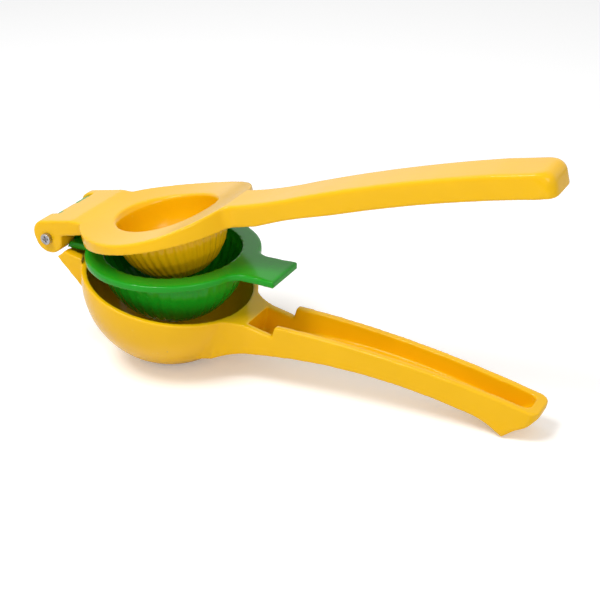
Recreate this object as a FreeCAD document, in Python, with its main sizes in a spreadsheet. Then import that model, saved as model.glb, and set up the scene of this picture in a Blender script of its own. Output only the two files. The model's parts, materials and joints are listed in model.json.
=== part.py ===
import FreeCAD, Part
import math
import os

import Sketcher
from FreeCAD import Placement, Rotation, Vector

# Two-in-one hinged lemon squeezer. Every piece is drawn in its closed position: the origin is the
# centre of the bowl's rim, +X runs towards the handles, +Y is the hinge axis and +Z is up.
# At the end each piece is turned open about the hinge and the whole stands on bowl and heel.

SIZES = [
    ("hinge_reach", 48.6, "hinge axis behind the bowl's centre"),
    ("hinge_height", 5.4, "hinge axis above the bowl's rim"),
    ("rim_radius", 34.0, "inside radius of the bowl"),
    ("bowl_wall", 2.2, "thickness of the bowl"),
    ("rim_trim", 0.2, "how far the cut over the rim passes the bowl"),
    ("beyond", 60.0, "reach of cuts that pass the whole piece"),
    ("seat_gap", 0.3, "gap between castings that lie on each other"),
    ("side_gap", 0.2, "gap between neighbouring knuckles"),
    ("turning_gap", 0.4, "gap round a knuckle that turns past another casting"),
    ("lug_radius", 6.8, "outer radius of the lever's two hinge lugs"),
    ("lug_crown", 2.2, "rear end of the strap's top behind the hinge axis"),
    ("lug_back_curve", 6.0, "radius of the lugs' rear top"),
    ("knuckle_radius", 6.6, "outer radius of the other hinge knuckles"),
    ("hinge_half_width", 18.5, "half the width of the whole hinge"),
    ("near_lug_width", 9.3, "width of the lug that takes the screw"),
    ("far_lug_width", 4.5, "width of the lug on the other side"),
    ("middle_knuckle_width", 8.8, "width of the bowl's own knuckle"),
    ("middle_knuckle_shift", 0.7, "how far the bowl's knuckle lies towards the far lug"),
    ("post_radius", 3.0, "radius of the hinge post"),
    ("post_play", 0.05, "radial running clearance round the post"),
    ("post_head_radius", 4.4, "radius of the post's low head"),
    ("post_head_height", 1.4, "height of the post's low head"),
    ("near_lug_skin", 2.4, "metal left between the post's end and the lug's face"),
    ("screw_head_radius", 2.3, "radius of the screw's head"),
    ("screw_head_height", 1.9, "height of the screw's head"),
    ("screw_shank_radius", 1.4, "radius of the screw's shank"),
    ("screw_play", 0.15, "radial clearance of the screw's shank in the lug"),
    ("screw_length", 12.0, "length of the screw below its head"),
    ("screw_cross_width", 0.8, "width of each arm of the screw's cross recess"),
    ("screw_cross_span", 2.9, "span of the screw's cross recess"),
    ("screw_cross_depth", 1.1, "depth of the screw's cross recess"),
    ("handle_reach", 157.6, "top end of the lower handle from the bowl's centre"),
    ("handle_root_height", 5.0, "top of the lower handle where its walls begin"),
    ("handle_end_height", 14.7, "top of the lower handle at its end"),
    ("handle_crown", 480.0, "radius of the lower handle's arched top"),
    ("handle_belly", 231.0, "radius of the lower handle's arched underside"),
    ("belly_start", 22.0, "where the arched underside begins inside the bowl's form"),
    ("belly_depth", 23.0, "depth of the arched underside there"),
    ("end_overhang", 2.6, "how far the handle's end leans out"),
    ("end_edge", 1.6, "size of the handle's upper end edge"),
    ("end_lift", 0.1, "lift of the end edge over the walls"),
    ("end_reach", 2.2, "how far the handle's end stands out in plan"),
    ("end_corner", 5.0, "radius of the handle's end corners in plan"),
    ("end_corner_start", 3.0, "where the end corners begin"),
    ("handle_root_width", 21.6, "width of the lower handle at the bowl"),
    ("handle_end_width", 15.6, "width of the lower handle at its end"),
    ("handle_wall", 2.9, "thickness of the lower handle's walls"),
    ("handle_floor", 2.6, "thickness of the lower handle's floor"),
    ("floor_overhang", 2.4, "how far the channel's floor leans out under the end"),
    ("floor_edge", 2.0, "top of the floor's end below the handle's top"),
    ("floor_end_drop", 2.5, "top of the floor below the handle's top at the end wall"),
    ("heel_floor_back", 1.0, "low point of the floor behind the heel"),
    ("heel_floor_rise", 1.6, "extra thickness of the floor over the heel"),
    ("channel_start", 41.5, "where the lower handle's channel begins"),
    ("channel_corner", 3.0, "radius of the channel's end corners"),
    ("notch_slope", 0.6, "slope at the front of the notch"),
    ("root_spread", 6.0, "extra half width of the handle's root at the bowl's centre"),
    ("flare_start", 4.0, "where the handle's flare begins inside the bowl's rim"),
    ("flare_width", 5.2, "extra half width there"),
    ("flare_end", 7.0, "where the flare ends before the full walls"),
    ("flare_curve", 16.0, "radius of the flare"),
    ("notch_end", 53.4, "where the lower handle's full walls begin"),
    ("heel_reach", 149.8, "heel under the lower handle's end"),
    ("heel_height", -0.5, "height of the heel over the rim's plane"),
    ("heel_run", 14.8, "length of the heel's hollow front"),
    ("heel_rise", 4.1, "height of the heel's hollow front"),
    ("heel_curve", 25.0, "radius of the heel's hollow front"),
    ("foot_depth", 0.4, "depth of the flat on which the bowl stands"),
    ("strut_half_width", 18.0, "half the width of the strut behind the bowl"),
    ("strut_drop", 12.4, "depth of the strut where it meets the bowl"),
    ("strut_foot", 28.024, "where the strut's underside meets the bowl, behind the bowl's centre"),
    ("strut_end", 10.0, "where the strut's underside ends inside the bowl's form"),
    ("strut_depth", 20.0, "depth of the strut's underside there"),
    ("strut_waist", 22.0, "where the strut's sides begin to narrow"),
    ("strut_clearance", 1.6, "gap between the strut's hollow and the turning lugs"),
    ("strut_foot_angle", 56.0, "angle at which the strut's hollow ends below the hinge"),
    ("cheek_front", 30.6, "where the strut's cheeks end inside the bowl"),
    ("arm_top", 2.0, "top of the knuckle's arm in front of the hinge axis"),
    ("arm_bottom", 0.4, "bottom of the knuckle's arm behind the hinge axis"),
    ("arm_drop", 9.3, "depth of the knuckle's arm at the bowl"),
    ("arm_overlap", 1.0, "how far the arm reaches into the bowl's wall"),
    ("cheek_height", 2.0, "height of the strut's cheeks beside the cup's neck"),
    ("drain_count", 6, "drain slots round the bowl's bottom"),
    ("drain_width", 3.0, "width of each drain slot"),
    ("drain_start", 7.0, "where each drain slot begins"),
    ("drain_end", 16.0, "where each drain slot ends"),
    ("drain_centre", 2.2, "radius of the drain hole in the middle"),
    ("ring_overhang", 0.6, "how far the cup's flange stays inside the bowl's outer radius"),
    ("ring_thickness", 3.0, "thickness of the cup's flange"),
    ("cup_radius", 28.0, "inside radius of the cup"),
    ("cup_wall", 2.2, "thickness of the cup"),
    ("cup_neck_half_width", 13.6, "half the width of the cup's neck"),
    ("neck_overlap", 4.5, "how far the cup's neck reaches into its flange"),
    ("neck_toe", 1.0, "end of the neck's sloped underside in front of the hinge axis"),
    ("neck_lift", 0.1, "lift of that end over the bottom of the knuckles"),
    ("neck_heel", 6.0, "start of the neck's sloped underside"),
    ("tab_reach", 51.4, "end of the cup's thumb tab"),
    ("tab_width", 19.4, "width of the thumb tab at its waist"),
    ("tab_flare", 0.5, "how much the tab's end stands out each side"),
    ("tab_waist", 39.0, "where the thumb tab is narrowest"),
    ("tab_curve", 9.0, "radius of the tab's blend into the flange"),
    ("tab_curve_back", 1.2, "where the blend leaves the flange"),
    ("tab_curve_spread", 1.7, "extra half width of the tab there"),
    ("tab_root_back", 2.0, "how far the tab reaches into the flange"),
    ("tab_root_spread", 4.2, "extra half width of the tab inside the flange"),
    ("rib_count", 40, "ribs round the cup and round the pressing dome"),
    ("rib_depth", 0.7, "depth of the grooves between the ribs"),
    ("cup_hole_radius", 2.0, "radius of the cup's juice holes"),
    ("cup_hole_circle", 9.5, "radius of the circle of juice holes"),
    ("cup_hole_count", 6, "juice holes round the cup's middle hole"),
    ("flange_inset", 0.9, "how far the press flange stays inside the bowl's outer radius"),
    ("flange_thickness", 4.2, "thickness of the press flange at its middle"),
    ("saddle_radius", 133.0, "radius of the press flange's dished top along the lever"),
    ("saddle_rise", 4.4, "rise of the dished top at the neck and at the lever"),
    ("dome_radius", 23.3, "outer radius of the pressing dome"),
    ("dome_wall", 2.9, "thickness of the pressing dome"),
    ("recess_lip", 0.7, "width of the soft lip round the recess"),
    ("lip_depth", 0.49, "depth of the lip below the flange's lowest top"),
    ("lip_rise", 0.35, "rise of the lip over the flange's lowest top"),
    ("lip_curve", 0.98, "radius of the lip"),
    ("neck_underside", 0.4, "underside of the lever's neck above the hinge axis"),
    ("neck_top", 7.4, "top of the lever's neck above the hinge axis"),
    ("neck_rear", 1.4, "rear edge of the neck's strap in front of the hinge axis"),
    ("neck_edge", 30.5, "where the neck meets the press flange"),
    ("lever_width", 19.0, "width of the lever"),
    ("lever_wall", 2.4, "thickness of the lever's walls"),
    ("lever_roof", 2.6, "thickness of the lever's top"),
    ("lever_reach", 166.6, "end of the lever from the bowl's centre"),
    ("lever_crown", 695.0, "radius of the lever's arched top"),
    ("lever_belly", 586.0, "radius of the lever's arched underside"),
    ("lever_root_height", 14.4, "top of the lever where its arch begins"),
    ("lever_end_height", 19.1, "top of the lever near its end"),
    ("lever_tip_height", 10.5, "underside of the lever near its end"),
    ("lever_start", 66.0, "where the lever's arch begins"),
    ("lever_root_curve", 220.0, "radius of the hollow curve between flange and lever"),
    ("lever_root_corner", 4.0, "radius of the corners between flange and lever"),
    ("lever_corner", 3.5, "radius of the lever's end corners in plan"),
    ("lever_end_run", 12.0, "length of the lever's rounded end"),
    ("lever_end_curve", 16.0, "radius of the lever's rounded end"),
    ("lever_end_wall", 5.0, "thickness of the lever's end"),
    ("tip_rise", 1.0, "height of the lever's end edge"),
    ("tip_back", 1.6, "slope of the lever's end edge"),
    ("belly_root", 46.0, "where the lever's arched underside begins"),
    ("hollow_start", 44.0, "where the channel under the lever begins"),
    ("hollow_root_height", 12.2, "top of the lever where that channel begins"),
    ("hollow_end_rise", 2.5, "height of the channel's sloped end"),
    ("cup_open_angle", 11.9, "rest angle between bowl and cup"),
    ("lever_open_angle", 12.8, "rest angle between cup and lever"),
]

doc = FreeCAD.newDocument("LemonSqueezer")
sheet = doc.addObject("Spreadsheet::Sheet", "Dim")
for row, (alias, amount, meaning) in enumerate(SIZES, start=1):
    sheet.set(f"A{row}", alias)
    sheet.set(f"B{row}", str(amount))
    sheet.set(f"C{row}", meaning)
    sheet.setAlias(f"B{row}", alias)
doc.recompute()

LEFT = 1
RIGHT = -1
RIB_LEVELS = 5
# One rib's outline, as shares of its step round the form: the ridge starts at 0.
RIDGE_END = 0.36
GROOVE_START = 0.54
GROOVE_END = 0.82
RIB_RISE = 1.0
RIB_POLE_ANGLE = 14


def size(expression):
    """The value of an expression on the sheet."""
    return float(sheet.evalExpression(expression))


def named(text):
    """An expression with every sheet alias written out in full."""
    for alias, amount, meaning in sorted(SIZES, key=lambda entry: -len(entry[0])):
        text = text.replace(f"<{alias}>", f"Dim.{alias}")
    return text


def origin_plane(body, role):
    """One of a body's own origin planes."""
    return next(item for item in body.Origin.OriginFeatures if item.Role == role)


def origin_axis(body, role):
    """One of a body's own origin axes."""
    return next(item for item in body.Origin.OriginFeatures if item.Role == role)


def new_sketch(body, name, role, lift="0"):
    """An empty sketch on one of the body's planes, lifted along the plane's normal."""
    sketch = body.newObject("Sketcher::SketchObject", name)
    sketch.AttachmentSupport = [(origin_plane(body, role), "")]
    sketch.MapMode = "FlatFace"
    sketch.setExpression(".AttachmentOffset.Base.z", named(lift))
    return sketch


def tie(sketch, kind, geometry, point, expression):
    """Tie one coordinate of a point, or one radius, to the sheet."""
    expression = named(expression)
    amount = size(expression)
    if kind == "Radius":
        index = sketch.addConstraint(Sketcher.Constraint(kind, geometry, amount))
    else:
        index = sketch.addConstraint(Sketcher.Constraint(kind, -1, 1, geometry, point, amount))
    sketch.setExpression(f"Constraints[{index}]", expression)


def arc_between(start, end, radius, side):
    """An arc of under half a circle, with its centre to the left or right of the way from start to end."""
    chord = end - start
    across = Vector(-chord.y, chord.x, 0).normalize()
    centre = (start + end) * 0.5 + across * (side * math.sqrt(radius**2 - chord.Length**2 / 4))
    first, last = (start, end) if side == LEFT else (end, start)
    circle = Part.Circle(centre, Vector(0, 0, 1), radius)
    return Part.ArcOfCircle(
        circle,
        math.atan2(first.y - centre.y, first.x - centre.x),
        math.atan2(last.y - centre.y, last.x - centre.x),
    )


def draw_loop(sketch, corners):
    """A closed loop. Each corner is (x, y) or (x, y, radius, side) where an arc leaves the corner."""
    points = [Vector(size(named(corner[0])), size(named(corner[1])), 0) for corner in corners]
    ends = []
    for index, corner in enumerate(corners):
        start = points[index]
        end = points[(index + 1) % len(points)]
        if len(corner) == 2:
            edge = sketch.addGeometry(Part.LineSegment(start, end), False)
            ends.append((edge, 1, 2))
        else:
            radius, side = corner[2], corner[3]
            edge = sketch.addGeometry(arc_between(start, end, size(named(radius)), side), False)
            tie(sketch, "Radius", edge, 0, radius)
            ends.append((edge, 1, 2) if side == LEFT else (edge, 2, 1))
    for index, corner in enumerate(corners):
        edge, first, last = ends[index]
        next_edge, next_first, next_last = ends[(index + 1) % len(ends)]
        sketch.addConstraint(Sketcher.Constraint("Coincident", edge, last, next_edge, next_first))
        tie(sketch, "DistanceX", edge, first, corner[0])
        tie(sketch, "DistanceY", edge, first, corner[1])


def draw_circle(sketch, x, y, radius):
    """A circle tied to the sheet."""
    centre = Vector(size(named(x)), size(named(y)), 0)
    circle = sketch.addGeometry(Part.Circle(centre, Vector(0, 0, 1), size(named(radius))), False)
    tie(sketch, "Radius", circle, 0, radius)
    tie(sketch, "DistanceX", circle, 3, x)
    tie(sketch, "DistanceY", circle, 3, y)


def draw_frame(sketch, reach):
    """A large square round the whole piece, so that a pocket keeps only what lies inside the inner loop."""
    draw_loop(sketch, [
        (f"-({reach})", f"-({reach})"),
        (reach, f"-({reach})"),
        (reach, reach),
        (f"-({reach})", reach),
    ])


def new_body(label):
    """A body whose label names its file."""
    body = doc.addObject("PartDesign::Body", label)
    body.Label = label
    return body


def extrude(body, name, kind, sketch, length, both_sides=False, reverse=False):
    """A pad or pocket of a sketch. The change of volume shows that it did something."""
    doc.recompute()
    before = body.Shape.Volume if body.Tip else 0.0
    feature = body.newObject(f"PartDesign::{kind}", name)
    feature.Profile = sketch
    feature.setExpression("Length", named(length))
    feature.SideType = "Symmetric" if both_sides else "One side"
    feature.Reversed = reverse
    doc.recompute()
    require_change(body, name, before)
    return feature


def revolve(body, name, kind, sketch):
    """A full turn of a sketch about the body's vertical axis."""
    doc.recompute()
    before = body.Shape.Volume if body.Tip else 0.0
    feature = body.newObject(f"PartDesign::{kind}", name)
    feature.Profile = sketch
    feature.ReferenceAxis = (origin_axis(body, "Z_Axis"), [""])
    feature.Angle = 360
    doc.recompute()
    require_change(body, name, before)
    return feature


def require_change(body, name, before):
    """Stop where a feature left the body's volume as it was."""
    if abs(body.Shape.Volume - before) < 1e-3:
        raise RuntimeError(f"{body.Label}: {name} changed nothing")


def polar(body, name, feature, count):
    """Copies of a feature round the body's vertical axis."""
    before = body.Shape.Volume
    pattern = body.newObject("PartDesign::PolarPattern", name)
    pattern.Originals = [feature]
    pattern.Axis = (origin_axis(body, "Z_Axis"), [""])
    pattern.Angle = 360
    pattern.setExpression("Occurrences", named(count))
    body.Tip = pattern
    doc.recompute()
    require_change(body, name, before)
    return pattern


def combine(label, kind, base, tool):
    """A boolean of two solids."""
    result = doc.addObject(kind, label)
    result.Label = label
    result.Base = base
    result.Tool = tool
    doc.recompute()
    return result


def ribbed_form(label, radius, centre_height):
    """A bowl-shaped solid with ribs along its meridians, as a ruled loft through similar star outlines."""
    rib_depth = size("Dim.rib_depth")
    count = int(size("Dim.rib_count"))
    outlines = []
    for level in range(RIB_LEVELS + 1):
        angle = math.radians(90 - (90 - RIB_POLE_ANGLE) * level / RIB_LEVELS)
        outlines.append((radius * math.sin(angle), centre_height - radius * math.cos(angle)))
    outlines.insert(0, (radius, centre_height + RIB_RISE))
    wires = []
    for outer, height in outlines:
        inner = outer * (1 - rib_depth / radius)
        points = []
        for rib in range(count):
            for share, reach in ((0.0, outer), (RIDGE_END, outer), (GROOVE_START, inner), (GROOVE_END, inner)):
                turn = 2 * math.pi * (rib + share) / count
                points.append(Vector(reach * math.cos(turn), reach * math.sin(turn), height))
        wires.append(Part.makePolygon(points + points[:1]))
    form = doc.addObject("Part::Feature", label)
    form.Shape = Part.makeLoft(wires, True, True)
    return form


# Heights and places that several castings share.
RIM_OUTSIDE = "(<rim_radius>+<bowl_wall>)"
FLANGE_RADIUS = f"({RIM_OUTSIDE}-<flange_inset>)"
RING_TOP = "(<seat_gap>+<ring_thickness>)"
FLANGE_UNDERSIDE = "(<seat_gap>*2+<ring_thickness>)"
FLANGE_TOP = f"({FLANGE_UNDERSIDE}+<flange_thickness>)"
SADDLE_TOP = f"({FLANGE_TOP}+<saddle_rise>)"
SADDLE_HALF = "sqrt(<saddle_radius>^2-(<saddle_radius>-<saddle_rise>)^2)"
NECK_BOTTOM = "(<hinge_height>+<neck_underside>)"
HINGE_X = "(-<hinge_reach>)"
BORE_RADIUS = "(<post_radius>+<post_play>)"
NEAR_LUG_INNER = "(<hinge_half_width>-<near_lug_width>)"
FAR_LUG_INNER = "(<hinge_half_width>-<far_lug_width>)"
KNUCKLE_SWEEP = "(<knuckle_radius>+<turning_gap>)"
MIDDLE_NEAR = "(<middle_knuckle_width>/2-<middle_knuckle_shift>)*(-1)"
MIDDLE_FAR = "(<middle_knuckle_width>/2+<middle_knuckle_shift>)"
FOOT_DEPTH = "(<rim_radius>+<bowl_wall>-<foot_depth>)"
HEEL_DISTANCE = "sqrt(<heel_reach>^2+<heel_height>^2)"
LEAN = f"(atan(<heel_height>/<heel_reach>)+asin({FOOT_DEPTH}/{HEEL_DISTANCE}))"


def bowl_and_handle():
    """Lower casting: a deep bowl, an open channel handle with a heel, and a strut with the middle knuckle."""
    body = new_body("bowl_and_handle")

    # The strut ends in a hollow that the lever's lugs and the cup's knuckles turn in.
    hollow = "(<lug_radius>+<strut_clearance>)"
    cheek_end = f"{HINGE_X}+sqrt({hollow}^2-(<hinge_height>-<cheek_height>)^2)"
    foot_x = f"{HINGE_X}+{hollow}*cos(<strut_foot_angle>)"
    foot_z = f"<hinge_height>-{hollow}*sin(<strut_foot_angle>)"
    side = new_sketch(body, "side_outline", "XZ_Plane")
    draw_loop(side, [
        (foot_x, foot_z),
        ("-<strut_foot>", "-<strut_drop>"),
        ("-<strut_end>", "-<strut_depth>"),
        ("<belly_start>", "-<belly_depth>", "<handle_belly>", RIGHT),
        ("<heel_reach>-<heel_run>", "<heel_height>+<heel_rise>", "<heel_curve>", RIGHT),
        ("<heel_reach>", "<heel_height>"),
        ("<handle_reach>+<end_overhang>", "<handle_end_height>-<end_edge>"),
        ("<handle_reach>+<end_edge>", "<handle_end_height>+<end_lift>"),
        ("<handle_reach>", "<handle_end_height>", "<handle_crown>", LEFT),
        ("<notch_end>+<notch_slope>", "<handle_root_height>"),
        ("<notch_end>", "0"),
        ("-<cheek_front>", "0"),
        ("-<cheek_front>", "<cheek_height>"),
        (cheek_end, "<cheek_height>", hollow, RIGHT),
    ])
    extrude(body, "handle_and_strut", "Pad", side, "<hinge_half_width>*2", both_sides=True)

    # The channel between the handle's walls is cut right through, then its floor is put back.
    channel = new_sketch(body, "channel_outline", "XY_Plane")
    draw_loop(channel, [
        ("<channel_start>", "-<handle_root_width>/2+<handle_wall>"),
        ("<notch_end>", "-<handle_root_width>/2+<handle_wall>"),
        (
            "<handle_reach>-<handle_wall>-<channel_corner>",
            "-<handle_end_width>/2+<handle_wall>",
            "<channel_corner>",
            LEFT,
        ),
        ("<handle_reach>-<handle_wall>", "-<handle_end_width>/2+<handle_wall>+<channel_corner>"),
        (
            "<handle_reach>-<handle_wall>",
            "<handle_end_width>/2-<handle_wall>-<channel_corner>",
            "<channel_corner>",
            LEFT,
        ),
        ("<handle_reach>-<handle_wall>-<channel_corner>", "<handle_end_width>/2-<handle_wall>"),
        ("<notch_end>", "<handle_root_width>/2-<handle_wall>"),
        ("<channel_start>", "<handle_root_width>/2-<handle_wall>"),
    ])
    extrude(body, "channel", "Pocket", channel, "<handle_reach>", both_sides=True)
    floor = new_sketch(body, "floor_outline", "XZ_Plane")
    draw_loop(floor, [
        ("<belly_start>", "-<belly_depth>", "<handle_belly>", RIGHT),
        ("<heel_reach>-<heel_run>", "<heel_height>+<heel_rise>", "<heel_curve>", RIGHT),
        ("<heel_reach>", "<heel_height>"),
        ("<handle_reach>+<floor_overhang>", "<handle_end_height>-<floor_edge>"),
        ("<handle_reach>-<handle_wall>", "<handle_end_height>-<floor_end_drop>"),
        ("<heel_reach>-<heel_floor_back>", "<heel_height>+<handle_floor>+<heel_floor_rise>"),
        (
            "<heel_reach>-<heel_run>",
            "<heel_height>+<heel_rise>+<handle_floor>",
            "<handle_belly>-<handle_floor>",
            LEFT,
        ),
        ("<belly_start>", "-<belly_depth>+<handle_floor>"),
    ])
    extrude(body, "channel_floor", "Pad", floor, "<hinge_half_width>*2", both_sides=True)

    plan = new_sketch(body, "plan_outline", "XY_Plane")
    draw_frame(plan, "<lever_reach>*1.5")
    root = "<handle_root_width>/2"
    tip = "<handle_end_width>/2"
    draw_loop(plan, [
        ("-<hinge_reach>-<beyond>", "-<strut_half_width>"),
        ("-<strut_waist>", "-<strut_half_width>"),
        ("0", f"-{root}-<root_spread>"),
        (f"{RIM_OUTSIDE}-<flare_start>", f"-{root}-<flare_width>", "<flare_curve>", RIGHT),
        ("<notch_end>-<flare_end>", f"-{root}"),
        ("<handle_reach>-<end_corner_start>", f"-{tip}", "<end_corner>", LEFT),
        ("<handle_reach>+<end_reach>", f"-{tip}+<end_corner>"),
        ("<handle_reach>+<end_reach>", f"{tip}-<end_corner>", "<end_corner>", LEFT),
        ("<handle_reach>-<end_corner_start>", tip),
        ("<notch_end>-<flare_end>", root, "<flare_curve>", RIGHT),
        (f"{RIM_OUTSIDE}-<flare_start>", f"{root}+<flare_width>"),
        ("0", f"{root}+<root_spread>"),
        ("-<strut_waist>", "<strut_half_width>"),
        ("-<hinge_reach>-<beyond>", "<strut_half_width>"),
    ])
    extrude(body, "plan_trim", "Pocket", plan, "<lever_reach>*3", both_sides=True)

    # The bowl.
    outer = new_sketch(body, "bowl_outline", "XZ_Plane")
    draw_loop(outer, [
        ("0", "0"),
        ("0", f"-{RIM_OUTSIDE}", RIM_OUTSIDE, LEFT),
        (RIM_OUTSIDE, "0"),
    ])
    revolve(body, "bowl_outside", "Revolution", outer)
    inner = new_sketch(body, "bowl_hollow", "XZ_Plane")
    draw_loop(inner, [
        ("0", "<cheek_height>+<beyond>"),
        ("0", "-<rim_radius>", "<rim_radius>", LEFT),
        ("<rim_radius>", "0"),
        (f"{RIM_OUTSIDE}+<rim_trim>", "0"),
        (f"{RIM_OUTSIDE}+<rim_trim>", "<cheek_height>+<beyond>"),
    ])
    revolve(body, "bowl_inside", "Groove", inner)

    # The slot between the strut's cheeks, where the cup's neck lies.
    slot = new_sketch(body, "neck_slot_outline", "XY_Plane")
    half = "(<cup_neck_half_width>+<turning_gap>)"
    draw_loop(slot, [
        ("-<hinge_reach>-<beyond>", f"-{half}"),
        ("-<rim_radius>/2", f"-{half}"),
        ("-<rim_radius>/2", half),
        ("-<hinge_reach>-<beyond>", half),
    ])
    extrude(body, "neck_slot", "Pocket", slot, "<cheek_height>*2", reverse=True)

    # The middle knuckle on its arm.
    knuckle = new_sketch(body, "knuckle_outline", "XZ_Plane", f"-({MIDDLE_FAR})")
    draw_circle(knuckle, HINGE_X, "<hinge_height>", "<knuckle_radius>")
    extrude(body, "middle_knuckle", "Pad", knuckle, "<middle_knuckle_width>")
    arm = new_sketch(body, "arm_outline", "XZ_Plane", f"-({MIDDLE_FAR})")
    draw_loop(arm, [
        (f"{HINGE_X}+<arm_top>", "0"),
        (f"{HINGE_X}-<arm_bottom>", "<hinge_height>-<knuckle_radius>"),
        ("-<rim_radius>+<arm_overlap>", "-<arm_drop>"),
        ("-<rim_radius>-<arm_overlap>", "0"),
    ])
    extrude(body, "knuckle_arm", "Pad", arm, "<middle_knuckle_width>")
    bore = new_sketch(body, "bore_outline", "XZ_Plane")
    draw_circle(bore, HINGE_X, "<hinge_height>", BORE_RADIUS)
    extrude(body, "bore", "Pocket", bore, "<hinge_half_width>*2", both_sides=True)

    # Drain openings in the bottom of the bowl.
    drain = new_sketch(body, "drain_outline", "XY_Plane")
    draw_loop(drain, [
        ("-<drain_width>/2", "<drain_start>"),
        ("<drain_width>/2", "<drain_start>"),
        ("<drain_width>/2", "<drain_end>"),
        ("-<drain_width>/2", "<drain_end>"),
    ])
    slot_cut = extrude(body, "drain_slot", "Pocket", drain, "<rim_radius>*2")
    polar(body, "drain_slots", slot_cut, "<drain_count>")
    middle = new_sketch(body, "drain_middle_outline", "XY_Plane")
    draw_circle(middle, "0", "0", "<drain_centre>")
    extrude(body, "drain_middle", "Pocket", middle, "<rim_radius>*2")

    # The flat on which the bowl stands, level once the squeezer leans on its heel.
    foot = new_sketch(body, "foot_outline", "XZ_Plane")
    draw_loop(foot, [
        (
            f"{FOOT_DEPTH}*sin({LEAN})-<rim_radius>*cos({LEAN})",
            f"-{FOOT_DEPTH}*cos({LEAN})-<rim_radius>*sin({LEAN})",
        ),
        (
            f"{FOOT_DEPTH}*sin({LEAN})+<rim_radius>*cos({LEAN})",
            f"-{FOOT_DEPTH}*cos({LEAN})+<rim_radius>*sin({LEAN})",
        ),
        (
            f"({FOOT_DEPTH}+<beyond>)*sin({LEAN})+<rim_radius>*cos({LEAN})",
            f"-({FOOT_DEPTH}+<beyond>)*cos({LEAN})+<rim_radius>*sin({LEAN})",
        ),
        (
            f"({FOOT_DEPTH}+<beyond>)*sin({LEAN})-<rim_radius>*cos({LEAN})",
            f"-({FOOT_DEPTH}+<beyond>)*cos({LEAN})-<rim_radius>*sin({LEAN})",
        ),
    ])
    extrude(body, "foot", "Pocket", foot, "<rim_radius>", both_sides=True)
    return body


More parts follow.
